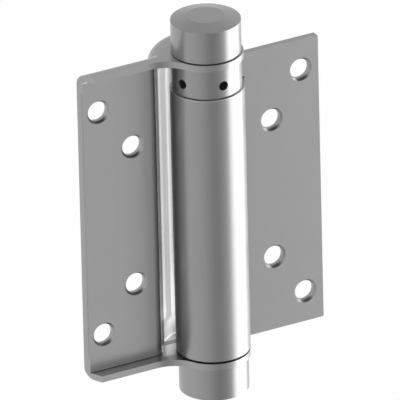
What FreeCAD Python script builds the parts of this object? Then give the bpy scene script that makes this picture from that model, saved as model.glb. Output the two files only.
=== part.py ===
import FreeCAD, Part
import math
import os
import Sketcher

# Single-action spring hinge for a door, drawn open flat (180 degrees).
# The barrel axis is Z. Y points into the wall behind the leaves, X towards the door.
# Z = 0 is the lower face of the bottom cap. Lengths are millimetres, angles are degrees.

SIZES = {
    # Sheet leaves
    "sheet_wall": 2.2,
    "frame_reach": 43.4,
    "plate_back": 6.7,
    "flange_depth": 6.35,
    "flange_taper": 3.0,
    "bend_inner": 0.5,
    "bend_outer": 3.8,
    "wall_clearance": 4.6,
    "wall_bend": 1.0,
    "wall_end_angle": 72.0,
    "wall_end_fillet": 3.0,
    "ear_margin": 0.6,
    "ear_fillet": 11.0,
    "leaf_clearance": 1.75,
    "door_reach": 39.8,
    "door_corner": 0.3,
    "tab_clearance": 0.7,
    "tab_relief": 0.5,
    # Rolled barrel
    "barrel_outer": 12.0,
    "barrel_length": 93.0,
    "seam_angle": 7.0,
    "eye_bend": 1.2,
    "thrust_gap": 0.6,
    # Screw holes
    "hole_radius": 3.4,
    "sink_width": 0.7,
    "frame_hole_edge": 6.4,
    "frame_inner_hole": 25.0,
    "door_hole_edge": 6.5,
    "door_inner_hole": 22.4,
    "outer_hole_margin": 10.7,
    "inner_hole_margin": 25.8,
    # Caps, collar and spindle
    "turned_step": 0.7,
    "cap_height": 11.1,
    "crown_rise": 1.3,
    "crown_width": 5.3,
    "spindle_radius": 4.0,
    "spindle_in_cap": 8.0,
    "spindle_chamfer": 0.6,
    "collar_height": 10.0,
    "stem_length": 8.0,
    "tommy_radius": 1.6,
    "tommy_depth": 5.0,
    "tommy_height": 4.35,
    "edge_break": 0.25,
    # Bushes
    "bush_wall": 0.85,
    "barrel_bush_wall": 1.4,
    "flange_width": 3.1,
    "flange_thickness": 1.0,
    # Torsion spring and its anchor
    "wire_width": 2.2,
    "tang_length": 4.0,
    "slot_spare": 0.5,
    "anchor_height": 11.0,
    # Clearances
    "running_fit": 0.05,
    "face_gap": 0.15,
    "tang_play": 0.1,
}
TOMMY_HOLES = 5
COIL_TURNS = 11
SECTIONS_PER_TURN = 12

# Sizes that follow from the driving ones, each a formula.
BARREL_INNER = "(Sizes.barrel_outer - Sizes.sheet_wall)"
TURNED_RADIUS = "(Sizes.barrel_outer - Sizes.turned_step)"
WALL_INNER = "(Sizes.barrel_outer + Sizes.wall_clearance)"
EAR_RING = "(" + TURNED_RADIUS + " + Sizes.ear_margin)"
EAR_ROOM = "(Sizes.thrust_gap + Sizes.barrel_length + Sizes.collar_height + 2 * Sizes.face_gap)"
FRAME_HEIGHT = "(" + EAR_ROOM + " + 2 * Sizes.sheet_wall)"
DOOR_HEIGHT = "(" + EAR_ROOM + " - 2 * Sizes.leaf_clearance)"
OUTER_PITCH = "(" + DOOR_HEIGHT + " - 2 * Sizes.outer_hole_margin)"
INNER_PITCH = "(" + DOOR_HEIGHT + " - 2 * Sizes.inner_hole_margin)"
BUSH_INNER = "(Sizes.spindle_radius + Sizes.running_fit)"
BUSH_OUTER = "(" + BUSH_INNER + " + Sizes.bush_wall)"
BUSH_BORE = "(" + BUSH_OUTER + " + Sizes.running_fit)"
BUSH_FLANGE = "(" + BUSH_OUTER + " + Sizes.flange_width)"
PLUG_RADIUS = "(" + BARREL_INNER + " - Sizes.running_fit)"
STEM_RADIUS = "(" + PLUG_RADIUS + " - Sizes.barrel_bush_wall - Sizes.running_fit)"
COIL_MEAN = "((" + BUSH_BORE + " + " + STEM_RADIUS + ") / 2)"

# Heights above Z = 0.
FRAME_BOTTOM = "(Sizes.cap_height + Sizes.crown_rise)"
FRAME_TOP = "(" + FRAME_BOTTOM + " + " + FRAME_HEIGHT + ")"
FRAME_MIDDLE = "(" + FRAME_BOTTOM + " + " + FRAME_HEIGHT + " / 2)"
EAR_FLOOR = "(" + FRAME_BOTTOM + " + Sizes.sheet_wall)"
BARREL_BOTTOM = "(" + EAR_FLOOR + " + Sizes.thrust_gap)"
BARREL_TOP = "(" + BARREL_BOTTOM + " + Sizes.barrel_length)"
DOOR_BOTTOM = "(" + FRAME_MIDDLE + " - " + DOOR_HEIGHT + " / 2)"
DOOR_TOP = "(" + FRAME_MIDDLE + " + " + DOOR_HEIGHT + " / 2)"
COLLAR_BOTTOM = "(" + BARREL_TOP + " + Sizes.face_gap)"
COLLAR_TOP = "(" + COLLAR_BOTTOM + " + Sizes.collar_height)"
STEM_BOTTOM = "(" + COLLAR_BOTTOM + " - Sizes.stem_length)"
ANCHOR_BOTTOM = "(" + BARREL_BOTTOM + " + Sizes.running_fit)"
ANCHOR_TOP = "(" + ANCHOR_BOTTOM + " + Sizes.anchor_height)"
COIL_LOW = "(" + ANCHOR_TOP + " + Sizes.face_gap + Sizes.wire_width / 2)"
COIL_HIGH = "(" + STEM_BOTTOM + " - Sizes.face_gap - Sizes.wire_width / 2)"

doc = FreeCAD.newDocument("spring_hinge")
sheet = doc.addObject("Spreadsheet::Sheet", "Sizes")
for row, (alias, number) in enumerate(SIZES.items(), start=1):
    sheet.set("A%d" % row, alias.replace("_", " "))
    sheet.set("B%d" % row, str(number))
    sheet.setAlias("B%d" % row, alias)
doc.recompute()


def value(formula):
    """The number that a formula of the sizes gives."""
    return float(sheet.evalExpression(formula))


def size(alias):
    return value("Sizes." + alias)


def new_body(name):
    body = doc.addObject("PartDesign::Body", name)
    body.Label = name
    return body


def new_sketch(body, name, role="XY_Plane", height=None):
    """A sketch on one of the body's own origin planes, lifted by a formula."""
    sketch = body.newObject("Sketcher::SketchObject", name)
    plane = [part for part in body.Origin.OriginFeatures if part.Role == role][0]
    sketch.AttachmentSupport = [(plane, "")]
    sketch.MapMode = "FlatFace"
    if height is not None:
        sketch.setExpression("AttachmentOffset.Base.z", height)
    return sketch


def dimension(sketch, name, formula, kind, *where):
    """A named dimension that follows a formula of the sizes."""
    number = value(formula)
    if kind == "Angle":
        number = math.radians(number)
    index = sketch.addConstraint(Sketcher.Constraint(kind, *where, number))
    sketch.renameConstraint(index, name)
    if kind == "Angle":
        formula = "(%s) * 1 deg" % formula
    sketch.setExpression("Constraints." + name, formula)


def add_circle(sketch, name, radius, across=None, up=None):
    """A circle whose centre lies at two formulas from the sketch's origin."""
    across_at = value(across) if across else 0.0
    up_at = value(up) if up else 0.0
    centre = FreeCAD.Vector(across_at, up_at, 0)
    curve = sketch.addGeometry(Part.Circle(centre, FreeCAD.Vector(0, 0, 1), value(radius)))
    dimension(sketch, name + "_radius", radius, "Radius", curve)
    if across is None and up is None:
        sketch.addConstraint(Sketcher.Constraint("Coincident", curve, 3, -1, 1))
        return curve
    for kind, formula, at in (("DistanceX", across, across_at), ("DistanceY", up, up_at)):
        if formula is None:
            axis = -2 if kind == "DistanceX" else -1
            sketch.addConstraint(Sketcher.Constraint("PointOnObject", curve, 3, axis))
        elif at < 0:
            dimension(sketch, name + "_" + kind, "-(" + formula + ")", kind, curve, 3, -1, 1)
        else:
            dimension(sketch, name + "_" + kind, formula, kind, -1, 1, curve, 3)
    return curve


def add_polygon(sketch, name, points):
    """A closed outline of straight edges through points, each a pair of formulas."""
    places = [FreeCAD.Vector(value(across), value(up), 0) for across, up in points]
    count = len(places)
    lines = [sketch.addGeometry(Part.LineSegment(places[i], places[(i + 1) % count]))
             for i in range(count)]
    for i, line in enumerate(lines):
        sketch.addConstraint(Sketcher.Constraint("Coincident", line, 2, lines[(i + 1) % count], 1))
    for i, (across, up) in enumerate(points):
        for kind, formula, at in (("DistanceX", across, places[i].x),
                                  ("DistanceY", up, places[i].y)):
            label = "%s_%s_%d" % (name, kind, i)
            if abs(at) < 1e-9:
                axis = -2 if kind == "DistanceX" else -1
                sketch.addConstraint(Sketcher.Constraint("PointOnObject", lines[i], 1, axis))
            elif at < 0:
                dimension(sketch, label, "-(" + formula + ")", kind, lines[i], 1, -1, 1)
            else:
                dimension(sketch, label, formula, kind, -1, 1, lines[i], 1)
    return lines


def pad(body, sketch, name, length, midplane=False):
    feature = body.newObject("PartDesign::Pad", name)
    feature.Profile = sketch
    feature.setExpression("Length", length)
    feature.Midplane = midplane
    doc.recompute()
    return feature


def pocket(body, sketch, name, length=None, reverse=False, midplane=False):
    """A cut, through everything where no length is given; it has to take material away."""
    before = body.Shape.Volume
    feature = body.newObject("PartDesign::Pocket", name)
    feature.Profile = sketch
    feature.Reversed = reverse
    feature.Midplane = midplane
    if length is None:
        feature.Type = "ThroughAll"
    else:
        feature.setExpression("Length", length)
    doc.recompute()
    if not body.Shape.Volume < before:
        raise ValueError(name + " cuts nothing")
    return feature


def revolve(body, sketch, name):
    feature = body.newObject("PartDesign::Revolution", name)
    feature.Profile = sketch
    feature.ReferenceAxis = (sketch, ["V_Axis"])
    feature.Angle = 360
    doc.recompute()
    return feature


def edges_where(shape, test):
    return ["Edge%d" % (i + 1) for i, edge in enumerate(shape.Edges) if test(edge)]


def screw_holes(body, places, front):
    """Two pairs of screw holes, (distance across, pitch up), countersunk from the front face."""
    sketch = new_sketch(body, "screw_holes", "XZ_Plane")
    for number, (across, pitch) in enumerate(places):
        for side, sign in (("upper", "+"), ("lower", "-")):
            up = "%s %s %s / 2" % (FRAME_MIDDLE, sign, pitch)
            add_circle(sketch, "%s_%d" % (side, number), "Sizes.hole_radius", across, up)
    base = pocket(body, sketch, "screw_holes_cut", midplane=True)

    def is_rim(edge):
        curve = edge.Curve
        return (curve.TypeId == "Part::GeomCircle" and abs(curve.Axis.y) > 0.99
                and abs(curve.Radius - size("hole_radius")) < 1e-6
                and abs(curve.Center.y - front) < 1e-6)

    rims = edges_where(base.Shape, is_rim)
    if len(rims) != 2 * len(places):
        raise ValueError(body.Label + " has %d screw hole rims" % len(rims))
    sinks = body.newObject("PartDesign::Chamfer", "countersinks")
    sinks.Base = (base, rims)
    sinks.setExpression("Size", "Sizes.sink_width")
    doc.recompute()


def plan_frame_leaf(sketch):
    """The frame leaf seen from above: plate, wall round the barrel, ear and flange."""
    wall_out = value(WALL_INNER) + size("sheet_wall")
    bend = size("wall_bend")
    back = size("plate_back")
    ring = value(EAR_RING)
    fillet = size("ear_fillet")
    front = back - size("flange_depth")
    flange_end = size("flange_taper") - size("frame_reach")
    end = math.radians(size("wall_end_angle"))
    corner = size("wall_end_fillet")
    bend_x = -math.sqrt((wall_out + bend) ** 2 - (back + bend) ** 2)
    bend_angle = math.atan2(-(back + bend), -bend_x)
    lean = math.asin(corner / (ring + corner))
    seat = (ring + corner) * math.cos(lean)
    fillet_x = -math.sqrt((ring + fillet) ** 2 - (fillet - front) ** 2)
    fillet_angle = math.atan2(fillet - front, -fillet_x)

    def at(across, up):
        return FreeCAD.Vector(across, up, 0)

    def polar(radius, angle):
        return at(radius * math.cos(angle), radius * math.sin(angle))

    def arc(centre, radius, start, stop):
        circle = Part.Circle(centre, FreeCAD.Vector(0, 0, 1), radius)
        return sketch.addGeometry(Part.ArcOfCircle(circle, start, stop))

    def line(start, stop):
        return sketch.addGeometry(Part.LineSegment(start, stop))

    reach = size("frame_reach")
    plate = line(at(-reach, back), at(bend_x, back))
    heel = arc(at(bend_x, back + bend), bend, -math.pi / 2, bend_angle)
    wall = arc(at(0, 0), wall_out, end, math.pi + bend_angle)
    wall_end = line(polar(wall_out, end), polar(seat, end))
    notch = arc(polar(ring + corner, end - lean), corner, end + math.pi / 2, end - lean + math.pi)
    nose = arc(at(0, 0), ring, fillet_angle - math.pi, end - lean)
    throat = arc(at(fillet_x, front - fillet), fillet, fillet_angle, math.pi / 2)
    flange = line(at(fillet_x, front), at(flange_end, front))
    taper = line(at(flange_end, front), at(-reach, back))

    rule = Sketcher.Constraint
    for constraint in (
            rule("Tangent", plate, 2, heel, 1), rule("Tangent", heel, 2, wall, 2),
            rule("Coincident", wall, 1, wall_end, 1), rule("Tangent", wall_end, 2, notch, 1),
            rule("Tangent", notch, 2, nose, 2), rule("Tangent", nose, 1, throat, 1),
            rule("Tangent", throat, 2, flange, 1), rule("Coincident", flange, 2, taper, 1),
            rule("Coincident", taper, 2, plate, 1),
            rule("Horizontal", plate), rule("Horizontal", flange),
            rule("Coincident", wall, 3, -1, 1), rule("Coincident", nose, 3, -1, 1),
            rule("PointOnObject", -1, 1, wall_end)):
        sketch.addConstraint(constraint)
    dimension(sketch, "wall_radius", WALL_INNER + " + Sizes.sheet_wall", "Radius", wall)
    dimension(sketch, "heel_radius", "Sizes.wall_bend", "Radius", heel)
    dimension(sketch, "notch_radius", "Sizes.wall_end_fillet", "Radius", notch)
    dimension(sketch, "nose_radius", EAR_RING, "Radius", nose)
    dimension(sketch, "throat_radius", "Sizes.ear_fillet", "Radius", throat)
    dimension(sketch, "reach", "Sizes.frame_reach", "DistanceX", plate, 1, -1, 1)
    dimension(sketch, "back", "Sizes.plate_back", "DistanceY", -1, 1, plate, 1)
    dimension(sketch, "depth", "Sizes.flange_depth", "DistanceY", flange, 1, plate, 1)
    dimension(sketch, "taper", "Sizes.flange_taper", "DistanceX", taper, 2, taper, 1)
    dimension(sketch, "end_height", "(%s + Sizes.sheet_wall) * sin(Sizes.wall_end_angle)" % WALL_INNER,
              "DistanceY", -1, 1, wall, 1)


def plan_front_room(sketch):
    """The space in front of the bent sheet, from above, open past the leaf on every side."""
    inner = value(WALL_INNER)
    bend = size("wall_bend")
    back = size("plate_back")
    wall = size("sheet_wall")
    reach = size("frame_reach") + inner
    front = -2 * inner
    end = math.radians(size("wall_end_angle") / 2)
    bend_x = -math.sqrt((inner + wall + bend) ** 2 - (back + bend) ** 2)
    bend_angle = math.atan2(-(back + bend), -bend_x)

    def at(across, up):
        return FreeCAD.Vector(across, up, 0)

    def arc(centre, radius, start, stop):
        circle = Part.Circle(centre, FreeCAD.Vector(0, 0, 1), radius)
        return sketch.addGeometry(Part.ArcOfCircle(circle, start, stop))

    def line(start, stop):
        return sketch.addGeometry(Part.LineSegment(start, stop))

    tip = at(inner * math.cos(end), inner * math.sin(end))
    plate = line(at(-reach, back - wall), at(bend_x, back - wall))
    heel = arc(at(bend_x, back + bend), bend + wall, -math.pi / 2, bend_angle)
    round_wall = arc(at(0, 0), inner, end, math.pi + bend_angle)
    out = line(tip, at(2 * inner, tip.y))
    right = line(at(2 * inner, tip.y), at(2 * inner, front))
    near = line(at(2 * inner, front), at(-reach, front))
    left = line(at(-reach, front), at(-reach, back - wall))
    rule = Sketcher.Constraint
    for constraint in (
            rule("Tangent", plate, 2, heel, 1), rule("Tangent", heel, 2, round_wall, 2),
            rule("Coincident", round_wall, 1, out, 1), rule("Coincident", out, 2, right, 1),
            rule("Coincident", right, 2, near, 1), rule("Coincident", near, 2, left, 1),
            rule("Coincident", left, 2, plate, 1), rule("Horizontal", plate),
            rule("Horizontal", out), rule("Vertical", right), rule("Horizontal", near),
            rule("Vertical", left), rule("Coincident", round_wall, 3, -1, 1)):
        sketch.addConstraint(constraint)
    dimension(sketch, "wall_radius", WALL_INNER, "Radius", round_wall)
    dimension(sketch, "heel_radius", "Sizes.wall_bend + Sizes.sheet_wall", "Radius", heel)
    dimension(sketch, "face", "Sizes.plate_back - Sizes.sheet_wall", "DistanceY", -1, 1, plate, 1)
    dimension(sketch, "past_left", "Sizes.frame_reach + " + WALL_INNER, "DistanceX",
              plate, 1, -1, 1)
    dimension(sketch, "past_right", "2 * " + WALL_INNER, "DistanceX", -1, 1, right, 1)
    dimension(sketch, "past_front", "2 * " + WALL_INNER, "DistanceY", near, 1, -1, 1)
    dimension(sketch, "past_end", WALL_INNER + " * sin(Sizes.wall_end_angle / 2)",
              "DistanceY", -1, 1, round_wall, 1)


def build_frame_leaf():
    """Sheet leaf for the frame: plate, flanges bent forward, wall behind the barrel, ears."""
    body = new_body("frame_leaf")
    plan = new_sketch(body, "leaf_plan", height=FRAME_BOTTOM)
    plan_frame_leaf(plan)
    base = pad(body, plan, "leaf_block", FRAME_HEIGHT)
    bottom = value(FRAME_BOTTOM)
    top = value(FRAME_TOP)
    wall_out = value(WALL_INNER) + size("sheet_wall")
    back = size("plate_back")

    def on_back(point):
        radius = math.hypot(point.x, point.y)
        return point.y > back - 1e-6 and (abs(point.y - back) < 1e-6 or radius > wall_out - 1e-6)

    def back_rim(edge):
        level = abs(edge.BoundBox.ZMin - bottom) < 1e-6 or abs(edge.BoundBox.ZMax - top) < 1e-6
        flat = edge.BoundBox.ZLength < 1e-6
        middle = edge.valueAt((edge.FirstParameter + edge.LastParameter) / 2)
        return level and flat and on_back(middle)

    bends = body.newObject("PartDesign::Fillet", "outer_bends")
    bends.Base = (base, edges_where(base.Shape, back_rim))
    bends.setExpression("Radius", "Sizes.bend_outer")
    doc.recompute()

    room = new_sketch(body, "front_room", height=EAR_FLOOR)
    plan_front_room(room)
    base = pocket(body, room, "front_room_cut", EAR_ROOM, reverse=True)
    floor = bottom + size("sheet_wall")
    ceiling = top - size("sheet_wall")
    front = back - size("sheet_wall")
    inner = value(WALL_INNER)

    def corner(edge):
        level = edge.BoundBox.ZMin
        flat = edge.BoundBox.ZLength < 1e-6
        middle = edge.valueAt((edge.FirstParameter + edge.LastParameter) / 2)
        radius = math.hypot(middle.x, middle.y)
        on_sheet = middle.y > front - 1e-6 and (
            abs(middle.y - front) < 1e-6 or abs(radius - inner) < 1e-6
            or (middle.x < 0 and radius < inner + 1 and middle.y < front + size("wall_bend") * 2))
        return flat and on_sheet and (abs(level - floor) < 1e-6 or abs(level - ceiling) < 1e-6)

    folds = body.newObject("PartDesign::Fillet", "inner_bends")
    folds.Base = (base, edges_where(base.Shape, corner))
    folds.setExpression("Radius", "Sizes.bend_inner")
    doc.recompute()
    bore = new_sketch(body, "ear_bore")
    add_circle(bore, "bore", BUSH_INNER)
    pocket(body, bore, "ear_bores", reverse=True)
    places = (("Sizes.frame_hole_edge - Sizes.frame_reach", OUTER_PITCH),
              ("-Sizes.frame_inner_hole", INNER_PITCH))
    screw_holes(body, places, front)
    return body


def plan_barrel(sketch):
    """The door sheet rolled round the spring: reverse bend behind the plate, then the eye."""
    outer = size("barrel_outer")
    wall = size("sheet_wall")
    inner = outer - wall
    bend = size("eye_bend")
    half = wall / 2
    centre_x = math.sqrt((outer + bend) ** 2 - (half + bend) ** 2)
    centre_y = half + bend
    lean = math.atan2(centre_y, centre_x)
    seam = math.radians(360 - size("seam_angle"))

    def at(across, up):
        return FreeCAD.Vector(across, up, 0)

    def polar(radius, angle):
        return at(radius * math.cos(angle), radius * math.sin(angle))

    def arc(centre, radius, start, stop):
        circle = Part.Circle(centre, FreeCAD.Vector(0, 0, 1), radius)
        return sketch.addGeometry(Part.ArcOfCircle(circle, start, stop))

    centre = at(centre_x, centre_y)
    outside = arc(at(0, 0), outer, lean, seam)
    inside = arc(at(0, 0), inner, lean, seam)
    tight = arc(centre, bend, lean + math.pi, 1.5 * math.pi)
    wide = arc(centre, bend + wall, lean + math.pi, 1.5 * math.pi)
    lip = sketch.addGeometry(Part.LineSegment(polar(inner, seam), polar(outer, seam)))
    root = sketch.addGeometry(Part.LineSegment(at(centre_x, half), at(centre_x, -half)))
    rule = Sketcher.Constraint
    for constraint in (
            rule("Coincident", outside, 3, -1, 1), rule("Coincident", inside, 3, -1, 1),
            rule("Tangent", outside, 1, tight, 1), rule("Tangent", inside, 1, wide, 1),
            rule("Coincident", tight, 3, wide, 3), rule("Coincident", lip, 1, inside, 2),
            rule("Coincident", lip, 2, outside, 2), rule("Coincident", root, 1, tight, 2),
            rule("Coincident", root, 2, wide, 2), rule("Vertical", root),
            rule("PointOnObject", -1, 1, lip)):
        sketch.addConstraint(constraint)
    dimension(sketch, "outside_radius", "Sizes.barrel_outer", "Radius", outside)
    dimension(sketch, "inside_radius", BARREL_INNER, "Radius", inside)
    dimension(sketch, "tight_radius", "Sizes.eye_bend", "Radius", tight)
    dimension(sketch, "root_height", "Sizes.sheet_wall / 2", "DistanceY", -1, 1, root, 1)
    dimension(sketch, "seam_drop", "Sizes.barrel_outer * sin(Sizes.seam_angle)", "DistanceY",
              outside, 2, -1, 1)


def build_door_leaf():
    """Sheet leaf for the door, its edge rolled into the barrel that holds the spring."""
    body = new_body("door_leaf")
    plan = new_sketch(body, "barrel_plan", height=BARREL_BOTTOM)
    plan_barrel(plan)
    pad(body, plan, "barrel", "Sizes.barrel_length")
    root = ("sqrt(pow(Sizes.barrel_outer + Sizes.eye_bend; 2)"
            " - pow(Sizes.sheet_wall / 2 + Sizes.eye_bend; 2))")
    low = DOOR_BOTTOM
    high = DOOR_TOP
    tab = TURNED_RADIUS + " + Sizes.tab_clearance"
    step = BARREL_TOP + " + Sizes.tab_relief"
    outline = new_sketch(body, "plate_outline", "XZ_Plane")
    add_polygon(outline, "plate", (
        (root, low),
        ("Sizes.door_reach - Sizes.door_corner", low),
        ("Sizes.door_reach", low + " + Sizes.door_corner"),
        ("Sizes.door_reach", high + " - Sizes.door_corner"),
        ("Sizes.door_reach - Sizes.door_corner", high),
        (tab, high),
        (tab, step),
        (root, step)))
    pad(body, outline, "plate", "Sizes.sheet_wall", midplane=True)
    foot = new_sketch(body, "root_foot", "XZ_Plane")
    heel = "Sizes.barrel_outer + Sizes.tab_relief"
    under = BARREL_BOTTOM + " - Sizes.sheet_wall"
    add_polygon(foot, "foot", ((heel, under), ("Sizes.door_reach", under),
                               ("Sizes.door_reach", low), (heel, low)))
    pocket(body, foot, "root_foot_cut", midplane=True)
    places = (("Sizes.door_reach - Sizes.door_hole_edge", OUTER_PITCH),
              ("Sizes.door_inner_hole", INNER_PITCH))
    screw_holes(body, places, -size("sheet_wall") / 2)
    return body


def build_turned(name, points):
    """A turned piece: a half section, (radius, height) formulas, spun about the axis."""
    body = new_body(name)
    section = new_sketch(body, name + "_section", "XZ_Plane")
    add_polygon(section, "section", points)
    revolve(body, section, name + "_turned")
    return body


def build_caps():
    """Turned caps on the spindle's ends, each with a blind bore and a low crowned end."""
    for name, seat, sign in (("bottom_cap", FRAME_BOTTOM, "-"), ("top_cap", FRAME_TOP, "+")):
        rim = "%s %s Sizes.cap_height" % (seat, sign)
        crown = "%s %s Sizes.crown_rise" % (rim, sign)
        floor = "%s %s (Sizes.spindle_in_cap + Sizes.face_gap)" % (seat, sign)
        flat = TURNED_RADIUS + " - Sizes.crown_width"
        build_turned(name, ((BUSH_INNER, seat), (TURNED_RADIUS, seat), (TURNED_RADIUS, rim),
                            (flat, crown), ("0", crown), ("0", floor), (BUSH_INNER, floor)))


def build_spindle():
    """Steel rod through both ears, its chamfered ends inside the caps."""
    low = FRAME_BOTTOM + " - Sizes.spindle_in_cap"
    high = FRAME_TOP + " + Sizes.spindle_in_cap"
    cut = "Sizes.spindle_chamfer"
    radius = "Sizes.spindle_radius"
    build_turned("spindle", (("0", low), (radius + " - " + cut, low), (radius, low + " + " + cut),
                             (radius, high + " - " + cut), (radius + " - " + cut, high),
                             ("0", high)))


def build_bushes():
    """Moulded bushes: two flanged ones on the spindle, one round the collar's stem."""
    bottom = EAR_FLOOR + " + Sizes.running_fit"
    build_turned("lower_bush", ((BUSH_INNER, bottom), (BUSH_FLANGE, bottom),
                                (BUSH_FLANGE, BARREL_BOTTOM), (BUSH_OUTER, BARREL_BOTTOM),
                                (BUSH_OUTER, ANCHOR_TOP), (BUSH_INNER, ANCHOR_TOP)))
    shelf = COLLAR_TOP + " - Sizes.flange_thickness"
    build_turned("collar_bush", ((BUSH_INNER, STEM_BOTTOM), (BUSH_OUTER, STEM_BOTTOM),
                                 (BUSH_OUTER, shelf), (BUSH_FLANGE, shelf),
                                 (BUSH_FLANGE, COLLAR_TOP), (BUSH_INNER, COLLAR_TOP)))
    inside = STEM_RADIUS + " + Sizes.running_fit"
    build_turned("barrel_bush", ((inside, STEM_BOTTOM), (PLUG_RADIUS, STEM_BOTTOM),
                                 (PLUG_RADIUS, BARREL_TOP), (inside, BARREL_TOP)))


def tang_slot(body, name, height, reverse):
    """The slot that holds a straight end of the spring, cut from a flat end of the body."""
    sketch = new_sketch(body, name, height=height)
    half = "(Sizes.wire_width / 2 + Sizes.tang_play)"
    low = COIL_MEAN + " - " + half
    high = COIL_MEAN + " + " + half
    add_polygon(sketch, "slot", ((low, "-" + half), (high, "-" + half), (high, half),
                                 (low, half)))
    pocket(body, sketch, name + "_cut", "Sizes.tang_length + Sizes.slot_spare", reverse)


def build_collar():
    """Tension collar: ring with tommy-bar holes, and a stem that winds the spring's upper end."""
    well = BUSH_FLANGE + " + Sizes.running_fit"
    recess = COLLAR_TOP + " - Sizes.flange_thickness - Sizes.running_fit"
    body = build_turned("adjusting_collar", (
        (BUSH_BORE, STEM_BOTTOM), (STEM_RADIUS, STEM_BOTTOM), (STEM_RADIUS, COLLAR_BOTTOM),
        (TURNED_RADIUS + " - Sizes.edge_break", COLLAR_BOTTOM),
        (TURNED_RADIUS, COLLAR_BOTTOM + " + Sizes.edge_break"), (TURNED_RADIUS, COLLAR_TOP),
        (well, COLLAR_TOP), (well, recess), (BUSH_BORE, recess)))
    sketch = new_sketch(body, "tommy_hole", "XZ_Plane", TURNED_RADIUS + " - Sizes.tommy_depth")
    add_circle(sketch, "tommy", "Sizes.tommy_radius", None,
               COLLAR_BOTTOM + " + Sizes.tommy_height")
    hole = pocket(body, sketch, "tommy_hole_cut", "2 * Sizes.tommy_depth", reverse=True)
    before = hole.Shape.Volume
    ring = body.newObject("PartDesign::PolarPattern", "tommy_holes")
    ring.Originals = [hole]
    ring.Axis = ([part for part in body.Origin.OriginFeatures if part.Role == "Z_Axis"][0], [""])
    ring.Angle = 360
    ring.Occurrences = TOMMY_HOLES
    body.Tip = ring
    doc.recompute()
    if not body.Shape.Volume < before:
        raise ValueError("the ring of tommy holes cuts nothing")
    tang_slot(body, "upper_slot", STEM_BOTTOM, True)


def build_anchor():
    """Plug in the barrel's lower end, which holds the spring's lower end."""
    body = build_turned("spring_anchor", ((BUSH_BORE, ANCHOR_BOTTOM), (PLUG_RADIUS, ANCHOR_BOTTOM),
                                          (PLUG_RADIUS, ANCHOR_TOP), (BUSH_BORE, ANCHOR_TOP)))
    tang_slot(body, "lower_slot", ANCHOR_TOP, False)


def build_spring():
    """Torsion spring of square wire. Its square sections stand at even steps along a helix, and
    flat triangles join each to the next. Both ends run on as straight tangs into the anchor and
    the collar."""
    mean = value(COIL_MEAN)
    half = size("wire_width") / 2
    low = value(COIL_LOW)
    rise = value(COIL_HIGH) - low
    count = COIL_TURNS * SECTIONS_PER_TURN
    sections = []
    for step in range(count + 1):
        angle = 2 * math.pi * step / SECTIONS_PER_TURN
        middle = low + rise * step / count
        sections.append([FreeCAD.Vector(radius * math.cos(angle), radius * math.sin(angle), height)
                         for radius, height in ((mean - half, middle - half),
                                                (mean + half, middle - half),
                                                (mean + half, middle + half),
                                                (mean - half, middle + half))])

    def flat(*corners):
        return Part.Face(Part.makePolygon(corners + corners[:1]))

    faces = [flat(*sections[0]), flat(*sections[-1])]
    for here, there in zip(sections, sections[1:]):
        for side in range(4):
            after = (side + 1) % 4
            faces.append(flat(here[side], here[after], there[after]))
            faces.append(flat(here[side], there[after], there[side]))
    coils = Part.Solid(Part.makeShell(faces))
    tang = 2 * half + size("tang_length")
    corner = FreeCAD.Vector(mean - half, -half, 0)
    ends = [Part.makeBox(2 * half, 2 * half, tang, corner + FreeCAD.Vector(0, 0, height))
            for height in (low + half - tang, low + rise - half)]
    spring = doc.addObject("Part::Feature", "torsion_spring")
    spring.Label = "torsion_spring"
    spring.Shape = coils.multiFuse(ends)
    spring.Placement = FreeCAD.Placement()


build_frame_leaf()
build_door_leaf()
build_caps()
build_spindle()
build_bushes()
build_collar()
build_spring()
build_anchor()
doc.recompute()

pieces = [item for item in doc.Objects if item.TypeId in ("PartDesign::Body", "Part::Feature")]
for item in doc.Objects:
    if "Invalid" in item.State or "Error" in item.State:
        raise ValueError(item.Label + " failed: " + ", ".join(item.State))
os.makedirs("parts", exist_ok=True)
for piece in pieces:
    shape = piece.Shape
    if shape.isNull() or not shape.isValid() or len(shape.Solids) != 1:
        raise ValueError(piece.Label + " is not one valid solid")
    shape.exportStep("parts/%s.step" % piece.Label)
    box = shape.BoundBox
    print("%-18s %9.1f mm3  X %.2f..%.2f  Y %.2f..%.2f  Z %.2f..%.2f" % (
        piece.Label, shape.Volume, box.XMin, box.XMax, box.YMin, box.YMax, box.ZMin, box.ZMax))
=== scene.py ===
import math

import bpy
import numpy as np
from bpy.props import FloatProperty, PointerProperty, StringProperty
from mathutils import Matrix, Vector

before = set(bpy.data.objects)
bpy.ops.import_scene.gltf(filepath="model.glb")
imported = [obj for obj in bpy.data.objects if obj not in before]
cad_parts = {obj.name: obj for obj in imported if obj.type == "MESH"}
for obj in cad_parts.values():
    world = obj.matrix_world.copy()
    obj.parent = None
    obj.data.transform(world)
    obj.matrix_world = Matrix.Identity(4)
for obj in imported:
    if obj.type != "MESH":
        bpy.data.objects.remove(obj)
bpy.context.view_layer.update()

bl_info = {
    "name": "Spring hinge finish",
    "version": (1, 0, 0),
    "blender": (4, 5, 0),
    "location": "View3D > Sidebar > Hinge",
    "description": "Dresses a single-action spring hinge in satin steel and sets its studio",
    "category": "Object",
}

MM = 0.001

# Colour sockets of a Mix node, which have the same names as its number sockets.
MIX_A, MIX_B, MIX_RESULT = 6, 7, 2

# Satin steel is a little less than fully metallic, so that a pale haze lies on its reflections.
SATIN_METALLIC = 0.86
ROUGHNESS_SPREAD = 0.03

# Share of plain white in the paper of the floor where it is seen. The rest is lit and shaded.
PAPER_GLOW = 0.9

# Strength of the world where it is seen, and as light on the hinge.
WORLD_SEEN, WORLD_LIGHT = 1.0, 0.9

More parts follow.
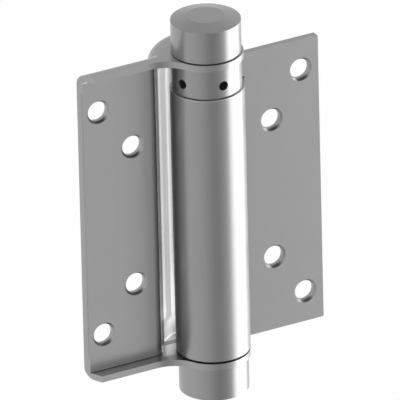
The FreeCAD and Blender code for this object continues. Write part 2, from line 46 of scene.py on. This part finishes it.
# Curved cards of graded paper round the hinge: name, first and last azimuth in degrees, radius,
# lowest and highest edge in metres, tones at even steps of azimuth, and strength of the paper.
CARDS = (
    ("front", -90, 36, 1.0, -1.1, 0.12, (0.9, 0.85, 0.77, 0.62, 0.38, 0.33, 0.56, 0.7), 1.0),
    ("top", -75, 90, 0.6, 0.5, 2.6, (0.4, 0.05, 0.02, 0.02, 0.03), 1.0),
    ("side", 86, 122, 1.2, 0.2, 1.15, (0.7, 1, 1, 0.7), 2.6),
    ("back", 124, 200, 1.2, 0.2, 1.1, (0.8, 0.8), 1.0),
    ("high", 124, 200, 1.2, 1.1, 4.0, (0.62, 0.62), 1.0),
)
CARD_POINTS = 33


class HingeFinish(bpy.types.PropertyGroup):
    """Colours and surface of the hinge's materials."""

    frame_colour: StringProperty(
        name="Frame leaf", description="Colour of the frame leaf's sheet, sRGB hex",
        default="#A3A3A3")
    door_colour: StringProperty(
        name="Door leaf", description="Colour of the door leaf's sheet, sRGB hex",
        default="#9C9C9C")
    turned_colour: StringProperty(
        name="Turned steel", description="Colour of the turned caps and collar, sRGB hex",
        default="#9A9A9A")
    spring_colour: StringProperty(
        name="Spring steel", description="Colour of the oil-tempered spring wire, sRGB hex",
        default="#5A5855")
    nylon_colour: StringProperty(
        name="Nylon", description="Colour of the moulded bushes, sRGB hex", default="#101010")
    # A flat grey close to the frame sheet's own, laid on the wall behind the barrel under its
    # painted highlights and painted shade.
    pocket_colour: StringProperty(
        name="Pocket", description="Colour of the burnished wall behind the barrel, sRGB hex",
        default="#A2A2A2")
    # Painted highlight: a near-white patch at the foot of the wall behind the barrel.
    foot_painted_highlight_colour: StringProperty(
        name="Pocket foot", description="Colour of the pocket's foot, drawn tightest, sRGB hex",
        default="#F4F4F4")
    # Painted reflection: the lower ear's face behind the barrel is made lighter, standing in for
    # the bright wall mirrored in it.
    ear_painted_light_colour: StringProperty(
        name="Ear", description="Colour of the lower ear's face behind the barrel, sRGB hex",
        default="#D4D4D4")
    shaded_colour: StringProperty(
        name="Pocket shade", description="Colour of the pocket wall beside its bend, sRGB hex",
        default="#333333")
    # Painted highlight: two light lines down the wall behind the barrel, standing in for
    # reflections in its curve.
    painted_highlight_line_colour: StringProperty(
        name="Pocket line", description="Colour of the lines rubbed by the punch, sRGB hex",
        default="#B8B8B8")
    # Painted shade: a darker strip between the two painted highlight lines on the wall behind the
    # barrel.
    painted_shade_strip_colour: StringProperty(
        name="Pocket middle", description="Colour of the strip between the lines, sRGB hex",
        default="#7F7F7F")
    # Painted highlight: two small bright spots at the upper bend, standing in for glints where the
    # bend ends.
    painted_glint_colour: StringProperty(
        name="Nick", description="Colour of the two bright nicks at the upper bend, sRGB hex",
        default="#DADADA")
    # Painted shade: a darker grey laid into the countersinks of the screw holes and into the
    # collar's drilled holes.
    painted_hole_shade_colour: StringProperty(
        name="Countersink", description="Colour of the cut steel in the drilled holes, sRGB hex",
        default="#7E7E7E")
    # Painted highlight: a light line round the barrel's upper rim.
    painted_rim_highlight_colour: StringProperty(
        name="Rim", description="Colour of the barrel's sawn upper rim, sRGB hex",
        default="#E0E0E0")
    # Painted shade: the frame leaf's lower inner bend is made darker.
    painted_bend_shade_colour: StringProperty(
        name="Inner bend", description="Colour of the scale left in the inner bend, sRGB hex",
        default="#7C7C7C")
    # Painted shade: a near-black line in the gaps at the barrel's foot and at the top cap's foot.
    painted_gap_shade_colour: StringProperty(
        name="Old oil", description="Colour of the dark line in two joints, sRGB hex",
        default="#0C0C0C")
    sheet_roughness: FloatProperty(
        name="Sheet roughness", description="Roughness of the satin sheet",
        default=0.34, min=0.0, max=1.0, subtype="FACTOR")
    turned_roughness: FloatProperty(
        name="Turned roughness", description="Roughness of the turned pieces",
        default=0.3, min=0.0, max=1.0, subtype="FACTOR")
    grain: FloatProperty(
        name="Grain", description="Width of one grain of the surface, as drawn",
        default=0.45 * MM, unit="LENGTH", precision=5)
    turning_pitch: FloatProperty(
        name="Turning pitch", description="Distance between two tool marks, as drawn",
        default=0.4 * MM, unit="LENGTH", precision=5)


class HingeStudio(bpy.types.PropertyGroup):
    """Camera, floor and lamp."""

    azimuth: FloatProperty(
        name="Azimuth", description="Direction the camera stands in, from the front",
        default=math.radians(-27.8), subtype="ANGLE")
    elevation: FloatProperty(
        name="Elevation", description="Height of the camera above the horizon",
        default=math.radians(26.1), subtype="ANGLE")
    roll: FloatProperty(
        name="Roll", description="Turn of the camera about its own line of sight",
        default=math.radians(-1.4), subtype="ANGLE")
    aim_height: FloatProperty(
        name="Aim height", description="Height on the barrel's axis at the picture's middle",
        default=67.5 * MM, unit="LENGTH")
    aim_aside: FloatProperty(
        name="Aim aside", description="From the barrel's axis left to the picture's middle",
        default=3.16 * MM, unit="LENGTH")
    picture_width: FloatProperty(
        name="Picture width", description="Width of what the picture shows at the hinge",
        default=127.9 * MM, unit="LENGTH")
    lens: FloatProperty(
        name="Lens", description="Focal length in millimetres, long enough to look flat",
        default=1720.0)
    floor_drop: FloatProperty(
        name="Floor drop", description="Depth of the floor below the hinge, held above it",
        default=1.2, unit="LENGTH")
    floor_size: FloatProperty(
        name="Floor size", description="Side of the square floor", default=12.0, unit="LENGTH")
    white: StringProperty(
        name="White", description="Colour of floor and world, sRGB hex", default="#FFFFFF")
    lamp_azimuth: FloatProperty(
        name="Lamp azimuth", description="Direction the lamp stands in, from the front",
        default=math.radians(73), subtype="ANGLE")
    lamp_elevation: FloatProperty(
        name="Lamp elevation", description="Height of the lamp above the hinge's horizon",
        default=math.radians(-12), subtype="ANGLE")
    lamp_distance: FloatProperty(
        name="Lamp distance", description="From the hinge to the lamp", default=1.8,
        unit="LENGTH")
    lamp_width: FloatProperty(
        name="Lamp width", description="Width of the lamp's face", default=2.0, unit="LENGTH")
    lamp_height: FloatProperty(
        name="Lamp height", description="Height of the lamp's face", default=2.8, unit="LENGTH")
    lamp_power: FloatProperty(
        name="Lamp power", description="Power of the lamp", default=50.0, unit="POWER")


def linear(colour):
    """Linear RGBA of an sRGB hex colour."""
    channels = [int(colour[i:i + 2], 16) / 255 for i in (1, 3, 5)]
    return tuple([c / 12.92 if c <= 0.04045 else ((c + 0.055) / 1.055) ** 2.4
                  for c in channels] + [1.0])


def node(tree, kind, inputs=None, **settings):
    """Adds a node. Settings are its own attributes. Inputs are given by name or number, each as
    a value or as the output that feeds it."""
    made = tree.nodes.new(kind)
    for name, value in settings.items():
        setattr(made, name, value)
    for name, value in (inputs or {}).items():
        if isinstance(value, bpy.types.NodeSocket):
            tree.links.new(value, made.inputs[name])
        else:
            made.inputs[name].default_value = value
    return made


def new_material(name):
    """An empty node material and its output."""
    material = bpy.data.materials.new(name)
    material.use_nodes = True
    material.node_tree.nodes.clear()
    output = material.node_tree.nodes.new("ShaderNodeOutputMaterial")
    return material, material.node_tree, output


def mottled(tree, colour, spread, pattern):
    """A colour that wanders between a darker and a lighter shade of itself with a pattern."""
    middle = linear(colour)[:3]
    dark, light = [tuple([c * share for c in middle] + [1.0])
                   for share in (1 - spread, 1 + spread)]
    return node(tree, "ShaderNodeMix", {"Factor": pattern, MIX_A: dark, MIX_B: light},
                data_type="RGBA").outputs[MIX_RESULT]


def between(tree, value, low, high, blur):
    """A factor that is 1 where the value lies from low to high, and falls to 0 over a blur on
    either side."""
    above, below = [
        node(tree, "ShaderNodeMapRange", {"Value": value, "From Min": outer, "From Max": inner},
             interpolation_type="SMOOTHSTEP").outputs["Result"]
        for outer, inner in ((low - blur, low), (high + blur, high))]
    return node(tree, "ShaderNodeMath", {0: above, 1: below},
                operation="MULTIPLY").outputs["Value"]


def patched(tree, place, skin, patches):
    """The skin's colour with patches laid over it. Each patch is a colour and its bounds in
    millimetres: the distance from the barrel's axis, the depth behind the axis and the height
    above the bottom cap's lower face, each as low, high and blur, or as None."""
    flat = node(tree, "ShaderNodeVectorMath", {0: place, 1: (1, 1, 0)}, operation="MULTIPLY")
    away = node(tree, "ShaderNodeVectorMath", {0: flat.outputs["Vector"]}, operation="LENGTH")
    split = node(tree, "ShaderNodeSeparateXYZ", {"Vector": place})
    sources = (away.outputs["Value"], split.outputs["Y"], split.outputs["Z"])
    for colour, *bounds in patches:
        factor = None
        for source, bound in zip(sources, bounds):
            if bound:
                share = between(tree, source, *(value * MM for value in bound))
                factor = share if factor is None else node(
                    tree, "ShaderNodeMath", {0: factor, 1: share},
                    operation="MULTIPLY").outputs["Value"]
        skin = node(tree, "ShaderNodeMix",
                    {"Factor": factor, MIX_A: skin, MIX_B: linear(colour)},
                    data_type="RGBA").outputs[MIX_RESULT]
    return skin


def blasted_stainless(name, colour, roughness, grain, patches):
    """Stainless sheet, fine blasted and passivated. The eye gets a soft, even grey whose
    highlights are wide, with a faint mottle from the grain, and a few patches of painted
    highlight and painted shade laid on by position. The real grain is about 0.1 mm and is
    drawn coarser, to show."""
    material, tree, output = new_material(name)
    place = node(tree, "ShaderNodeTexCoord").outputs["Object"]
    fine = node(tree, "ShaderNodeTexNoise", {
        "Vector": place, "Scale": 1 / grain, "Detail": 3.0, "Roughness": 0.6}).outputs["Fac"]
    broad = node(tree, "ShaderNodeTexNoise", {
        "Vector": place, "Scale": 1 / (14 * grain), "Detail": 2.0, "Roughness": 0.5})
    rough = node(tree, "ShaderNodeMapRange", {
        "Value": broad.outputs["Fac"], "To Min": roughness - ROUGHNESS_SPREAD,
        "To Max": roughness + ROUGHNESS_SPREAD})
    bump = node(tree, "ShaderNodeBump", {
        "Height": fine, "Strength": 0.12, "Distance": 0.05 * MM})
    shader = node(tree, "ShaderNodeBsdfPrincipled", {
        "Base Color": patched(tree, place, mottled(tree, colour, 0.05, fine), patches),
        "Metallic": SATIN_METALLIC, "Roughness": rough.outputs["Result"],
        "Normal": bump.outputs["Normal"]})
    tree.links.new(shader.outputs["BSDF"], output.inputs["Surface"])
    return material


def turned_stainless(name, colour, roughness, grain, pitch, patches):
    """Stainless bar, turned and satin finished. The eye gets soft bands along the piece, faint
    rings from the tool, a thin line of painted shade in the gap where the top cap meets its ear,
    and painted shade in the drilled holes. The tool's marks are about 0.1 mm apart and are
    drawn coarser, to show."""
    material, tree, output = new_material(name)
    place = node(tree, "ShaderNodeTexCoord").outputs["Object"]
    fine = node(tree, "ShaderNodeTexNoise", {
        "Vector": place, "Scale": 1 / grain, "Detail": 3.0, "Roughness": 0.6}).outputs["Fac"]
    squash = node(tree, "ShaderNodeMapping", {"Vector": place, "Scale": (0.02, 0.02, 1.0)})
    rings = node(tree, "ShaderNodeTexNoise", {
        "Vector": squash.outputs["Vector"], "Scale": 1 / pitch, "Detail": 1.0,
        "Roughness": 0.5}).outputs["Fac"]
    height = node(tree, "ShaderNodeMath", {0: fine, 1: rings}, operation="ADD")
    rough = node(tree, "ShaderNodeMapRange", {
        "Value": rings, "To Min": roughness - ROUGHNESS_SPREAD,
        "To Max": roughness + ROUGHNESS_SPREAD})
    bump = node(tree, "ShaderNodeBump", {
        "Height": height.outputs["Value"], "Strength": 0.08, "Distance": 0.04 * MM})
    shader = node(tree, "ShaderNodeBsdfPrincipled", {
        "Base Color": patched(tree, place, mottled(tree, colour, 0.04, fine), patches),
        "Metallic": SATIN_METALLIC, "Roughness": rough.outputs["Result"],
        "Normal": bump.outputs["Normal"]})
    tree.links.new(shader.outputs["BSDF"], output.inputs["Surface"])
    return material


def tempered_wire(name, colour, grain):
    """Oil-tempered spring steel. The eye gets a dark grey-brown scale with a dull shine."""
    material, tree, output = new_material(name)
    place = node(tree, "ShaderNodeTexCoord").outputs["Object"]
    scale = node(tree, "ShaderNodeTexNoise", {
        "Vector": place, "Scale": 1 / (3 * grain), "Detail": 4.0,
        "Roughness": 0.6}).outputs["Fac"]
    rough = node(tree, "ShaderNodeMapRange", {"Value": scale, "To Min": 0.35, "To Max": 0.5})
    shader = node(tree, "ShaderNodeBsdfPrincipled", {
        "Base Color": mottled(tree, colour, 0.25, scale), "Metallic": 0.9,
        "Roughness": rough.outputs["Result"]})
    tree.links.new(shader.outputs["BSDF"], output.inputs["Surface"])
    return material


def moulded_nylon(name, colour, grain):
    """Glass-filled nylon, injection moulded. The eye gets a near-black with a soft sheen."""
    material, tree, output = new_material(name)
    place = node(tree, "ShaderNodeTexCoord").outputs["Object"]
    skin = node(tree, "ShaderNodeTexNoise", {
        "Vector": place, "Scale": 1 / grain, "Detail": 2.0, "Roughness": 0.5}).outputs["Fac"]
    bump = node(tree, "ShaderNodeBump", {
        "Height": skin, "Strength": 0.2, "Distance": 0.02 * MM})
    shader = node(tree, "ShaderNodeBsdfPrincipled", {
        "Base Color": mottled(tree, colour, 0.1, skin), "Roughness": 0.65,
        "Normal": bump.outputs["Normal"]})
    tree.links.new(shader.outputs["BSDF"], output.inputs["Surface"])
    return material


def seen_plainly(tree):
    """A factor that is 1 for rays that see the white straight, in metal or through glass, and
    0 for rays that carry its light to the hinge."""
    path = node(tree, "ShaderNodeLightPath")
    seen = node(tree, "ShaderNodeMath", {
        0: path.outputs["Is Camera Ray"], 1: path.outputs["Is Glossy Ray"]},
        operation="MAXIMUM")
    return node(tree, "ShaderNodeMath", {
        0: seen.outputs["Value"], 1: path.outputs["Is Transmission Ray"]},
        operation="MAXIMUM").outputs["Value"]


def white_paper(name, colour):
    """Matte white paper sweep. Seen straight, in metal or through glass it is plain white;
    the lamp still lights it and the hinge still shades it."""
    material, tree, output = new_material(name)
    diffuse = node(tree, "ShaderNodeBsdfDiffuse", {"Color": linear(colour)})
    glow = node(tree, "ShaderNodeEmission", {"Color": linear(colour), "Strength": 1.0})
    share = node(tree, "ShaderNodeMath", {0: seen_plainly(tree), 1: PAPER_GLOW},
                 operation="MULTIPLY")
    mix = node(tree, "ShaderNodeMixShader", {
        0: share.outputs["Value"], 1: diffuse.outputs["BSDF"], 2: glow.outputs["Emission"]})
    tree.links.new(mix.outputs["Shader"], output.inputs["Surface"])
    return material


def graded_paper(name, tones, left, right, strength):
    """Studio paper sprayed from light to dark. The eye never meets it but in the metal, where
    it gives the slow change of tone round a barrel. The tones lie at even steps of azimuth,
    and the front is a quarter turn into the radial gradient."""
    material, tree, output = new_material(name)
    place = node(tree, "ShaderNodeTexCoord").outputs["Object"]
    around = node(tree, "ShaderNodeTexGradient", {"Vector": place}, gradient_type="RADIAL")
    share = node(tree, "ShaderNodeMapRange", {
        "Value": around.outputs["Fac"], "From Min": 0.25 + left / 360,
        "From Max": 0.25 + right / 360})
    ramp = node(tree, "ShaderNodeValToRGB", {"Fac": share.outputs["Result"]})
    ramp.color_ramp.interpolation = "EASE"
    while len(ramp.color_ramp.elements) < len(tones):
        ramp.color_ramp.elements.new(0.5)
    for index, tone in enumerate(tones):
        stop = ramp.color_ramp.elements[index]
        stop.position = index / (len(tones) - 1)
        stop.color = (tone, tone, tone, 1)
    shader = node(tree, "ShaderNodeEmission", {
        "Color": ramp.outputs["Color"], "Strength": strength})
    tree.links.new(shader.outputs["Emission"], output.inputs["Surface"])
    return material


def dress(names, material):
    """Gives CAD nodes a material in every slot."""
    for name in names:
        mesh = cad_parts[name].data
        for index in range(len(mesh.materials)):
            mesh.materials[index] = material


class HINGE_OT_leaves(bpy.types.Operator):
    """Gives both sheet leaves their blasted stainless finish"""

    bl_idname = "hinge.leaves"
    bl_label = "Leaves"

    def execute(self, context):
        finish = context.scene.hinge_finish
        # Bounds that several patches share, each as low, high and blur in millimetres: two
        # distances from the axis, three depths and three heights.
        wall = (11, 16.65, 0.05)
        barrel = (10.5, 12.05, 0.05)
        behind = (5, 20, 3)
        frame_sink = (4.62, 5.6, 0.1)
        door_sink = (-1.0, 0.0, 0.1)
        drawn = (23, 112, 3)
        frame_rows = (20, 113, 1)
        door_rows = (18, 114, 1)
        dress(("frame_leaf",), blasted_stainless(
            "stainless_frame_sheet", finish.frame_colour, finish.sheet_roughness, finish.grain, (
                # The wall behind the barrel, from foot to head and then across: a flat grey close
                # to the sheet's own, a painted highlight at the foot, painted light on the ear's
                # face, painted shade beside the bend, and painted highlight and painted shade in
                # lines across the curve.
                (finish.pocket_colour, wall, behind, (14.5, 118.2, 0.1)),
                (finish.foot_painted_highlight_colour, wall, behind, (14.9, 18.5, 4)),
                (finish.ear_painted_light_colour, wall, (3.5, 20, 2), (14.5, 14.7, 0.05)),
                (finish.shaded_colour, wall, (9.6, 11.8, 0.3), (15, 114, 1)),
                (finish.painted_highlight_line_colour, wall, (12.3, 12.9, 0.3), drawn),
                (finish.painted_shade_strip_colour, wall, (13.7, 14.8, 0.5), drawn),
                (finish.painted_highlight_line_colour, wall, (15.2, 20, 0.3), drawn),
                # Painted shade in the lower inner bend, and two painted highlights at the upper
                # one.
                (finish.painted_bend_shade_colour, (17, 90, 0.05), (4.05, 4.6, 0.2), (14.5, 14.95, 0.2)),
                (finish.painted_glint_colour, (41.0, 42.4, 0.3), (4.3, 4.6, 0.1), (117.35, 117.6, 0.2)),
                (finish.painted_glint_colour, (16.2, 17.2, 0.2), (4.1, 4.5, 0.1), (120.4, 120.8, 0.1)),
                # Painted shade in the countersinks of the outer and the inner screw holes.
                (finish.painted_hole_shade_colour, (35.6, 42, 1.4), frame_sink, frame_rows),
                (finish.painted_hole_shade_colour, (24, 30, 1.4), frame_sink, frame_rows),
            )))
        dress(("door_leaf",), blasted_stainless(
            "stainless_door_sheet", finish.door_colour, finish.sheet_roughness, finish.grain, (
                # A painted highlight on the barrel's rim, and a line of painted shade in the gap
                # at its foot.
                (finish.painted_rim_highlight_colour, barrel, None, (108.1, 108.3, 0.05)),
                (finish.painted_gap_shade_colour, barrel, None, (15.1, 15.4, 0.1)),
                # Painted shade in the countersinks of the outer and the inner screw holes.
                (finish.painted_hole_shade_colour, (32.5, 34.6, 1.1), door_sink, door_rows),
                (finish.painted_hole_shade_colour, (21.6, 23.7, 1.1), door_sink, door_rows),
            )))
        return {"FINISHED"}


class HINGE_OT_turned(bpy.types.Operator):
    """Gives the caps and the adjusting collar their turned stainless finish"""

    bl_idname = "hinge.turned"
    bl_label = "Caps and collar"

    def execute(self, context):
        finish = context.scene.hinge_finish
        # Painted shade in the gap where the top cap meets its ear.
        foot = (finish.painted_gap_shade_colour, None, None, (120.6, 120.95, 0.08))
        # Painted shade deep in the collar's drilled holes.
        tommy = (finish.painted_hole_shade_colour, (0, 10.8, 0.3), None, (109, 117, 0.1))
        dress(("top_cap", "bottom_cap", "adjusting_collar"), turned_stainless(
            "stainless_bar_turned", finish.turned_colour, finish.turned_roughness,
            finish.grain, finish.turning_pitch, (foot, tommy)))
        return {"FINISHED"}


class HINGE_OT_inside(bpy.types.Operator):
    """Gives the spindle, spring, anchor and bushes their finishes"""

    bl_idname = "hinge.inside"
    bl_label = "Spindle, spring and bushes"

    def execute(self, context):
        finish = context.scene.hinge_finish
        wire = tempered_wire("spring_steel_tempered", finish.spring_colour, finish.grain)
        dress(("torsion_spring", "spring_anchor", "spindle"), wire)
        nylon = moulded_nylon("nylon_moulded", finish.nylon_colour, finish.grain)
        dress(("lower_bush", "collar_bush", "barrel_bush"), nylon)
        return {"FINISHED"}


def facing(azimuth, elevation):
    """Unit direction from the hinge, by azimuth from the front and height above the horizon."""
    return Vector((math.sin(azimuth) * math.cos(elevation),
                   -math.cos(azimuth) * math.cos(elevation), math.sin(elevation)))


def placed(name, data):
    """A new object for its data, in the scene."""
    made = bpy.data.objects.new(name, data)
    bpy.context.scene.collection.objects.link(made)
    return made


def curved_card(name, left, right, radius, bottom, top, material):
    """An upright sheet bent to part of a cylinder round the barrel's axis, as a grid of points:
    azimuth runs from left to right, height from bottom to top. Only metal sees it, as a
    photographer's card outside the picture."""
    around = np.radians(np.linspace(left, right, CARD_POINTS))
    heights = np.array([bottom, top])
    points = np.stack(np.broadcast_arrays(
        radius * np.sin(around)[:, None], -radius * np.cos(around)[:, None], heights[None, :]),
        axis=-1).reshape(-1, 3)
    first = 2 * np.arange(len(around) - 1)
    faces = np.stack([first, first + 2, first + 3, first + 1], axis=1)
    mesh = bpy.data.meshes.new(name)
    mesh.from_pydata(points.tolist(), [], faces.tolist())
    mesh.materials.append(material)
    made = placed(name, mesh)
    for ray in ("visible_camera", "visible_diffuse", "visible_shadow", "visible_transmission"):
        setattr(made, ray, False)


def lay_floor(studio):
    """A flat square of paper below the hinge: the four corners at plus and minus half its side."""
    half = studio.floor_size / 2
    corners = np.array([(-half, -half), (half, -half), (half, half), (-half, half)])
    points = np.column_stack([corners, np.full(4, -studio.floor_drop)])
    mesh = bpy.data.meshes.new("floor")
    mesh.from_pydata(points.tolist(), [], [(0, 1, 2, 3)])
    mesh.materials.append(white_paper("paper_white", studio.white))
    floor = placed("floor", mesh)


def light_world(studio):
    """A white world, a little dimmer as light on the hinge than as it is seen."""
    world = bpy.data.worlds.new("studio_world")
    bpy.context.scene.world = world
    world.use_nodes = True
    tree = world.node_tree
    tree.nodes.clear()
    output = tree.nodes.new("ShaderNodeOutputWorld")
    level = node(tree, "ShaderNodeMapRange", {
        "Value": seen_plainly(tree), "To Min": WORLD_LIGHT, "To Max": WORLD_SEEN})
    back = node(tree, "ShaderNodeBackground", {
        "Color": linear(studio.white), "Strength": level.outputs["Result"]})
    tree.links.new(back.outputs["Background"], output.inputs["Surface"])


def hang_lamp(studio, middle):
    """One large rectangular lamp that faces the hinge from the right."""
    data = bpy.data.lights.new("lamp_right", "AREA")
    data.shape = "RECTANGLE"
    data.size = studio.lamp_width
    data.size_y = studio.lamp_height
    data.energy = studio.lamp_power
    lamp = placed("lamp_right", data)
    direction = facing(studio.lamp_azimuth, studio.lamp_elevation)
    lamp.location = middle + direction * studio.lamp_distance
    lamp.rotation_mode = "QUATERNION"
    lamp.rotation_quaternion = direction.to_track_quat("Z", "Y")
    lamp.visible_camera = False


def aim_camera(studio, middle):
    """A camera so far off and with so long a lens that the picture has hardly any perspective,
    rolled about its line of sight and aimed a little aside of the barrel's axis."""
    back = facing(studio.azimuth, studio.elevation)
    level = Vector((math.cos(studio.azimuth), math.sin(studio.azimuth), 0))
    upright = back.cross(level)
    across = level * math.cos(studio.roll) + upright * math.sin(studio.roll)
    up = upright * math.cos(studio.roll) - level * math.sin(studio.roll)
    data = bpy.data.cameras.new("camera")
    data.lens = studio.lens
    distance = studio.picture_width * data.lens / data.sensor_width
    data.clip_start, data.clip_end = 10 * MM, distance * 10
    camera = placed("camera", data)
    camera.rotation_mode = "QUATERNION"
    camera.rotation_quaternion = Matrix((across, up, back)).transposed().to_quaternion()
    camera.location = middle - across * studio.aim_aside + back * distance
    bpy.context.scene.camera = camera


class HINGE_OT_stage(bpy.types.Operator):
    """Sets the white floor, the world, the lamp, the cards and the camera"""

    bl_idname = "hinge.stage"
    bl_label = "Studio"

    def execute(self, context):
        studio = context.scene.hinge_studio
        middle = Vector((0, 0, studio.aim_height))
        lay_floor(studio)
        light_world(studio)
        hang_lamp(studio, middle)
        for name, left, right, radius, bottom, top, tones, strength in CARDS:
            curved_card("card_" + name, left, right, radius, bottom, top,
                        graded_paper("paper_" + name, tones, left, right, strength))
        aim_camera(studio, middle)
        context.scene.view_settings.view_transform = "Standard"
        return {"FINISHED"}


class HINGE_PT_panel(bpy.types.Panel):
    """Lists the hinge's finishes and its studio"""

    bl_idname = "HINGE_PT_panel"
    bl_label = "Spring hinge"
    bl_space_type = "VIEW_3D"
    bl_region_type = "UI"
    bl_category = "Hinge"

    def draw(self, context):
        for operator in OPERATORS:
            self.layout.operator(operator.bl_idname)
        for group in (context.scene.hinge_finish, context.scene.hinge_studio):
            for name in group.__annotations__:
                self.layout.prop(group, name)


GROUPS = (HingeFinish, HingeStudio)
OPERATORS = (HINGE_OT_leaves, HINGE_OT_turned, HINGE_OT_inside, HINGE_OT_stage)


def register():
    for item in GROUPS + OPERATORS + (HINGE_PT_panel,):
        bpy.utils.register_class(item)
    bpy.types.Scene.hinge_finish = PointerProperty(type=HingeFinish)
    bpy.types.Scene.hinge_studio = PointerProperty(type=HingeStudio)


def unregister():
    del bpy.types.Scene.hinge_studio
    del bpy.types.Scene.hinge_finish
    for item in reversed(GROUPS + OPERATORS + (HINGE_PT_panel,)):
        bpy.utils.unregister_class(item)


def main():
    """Registers the add-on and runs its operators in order."""
    register()
    bpy.ops.hinge.leaves()
    bpy.ops.hinge.turned()
    bpy.ops.hinge.inside()
    bpy.ops.hinge.stage()


if __name__ == "__main__":
    main()
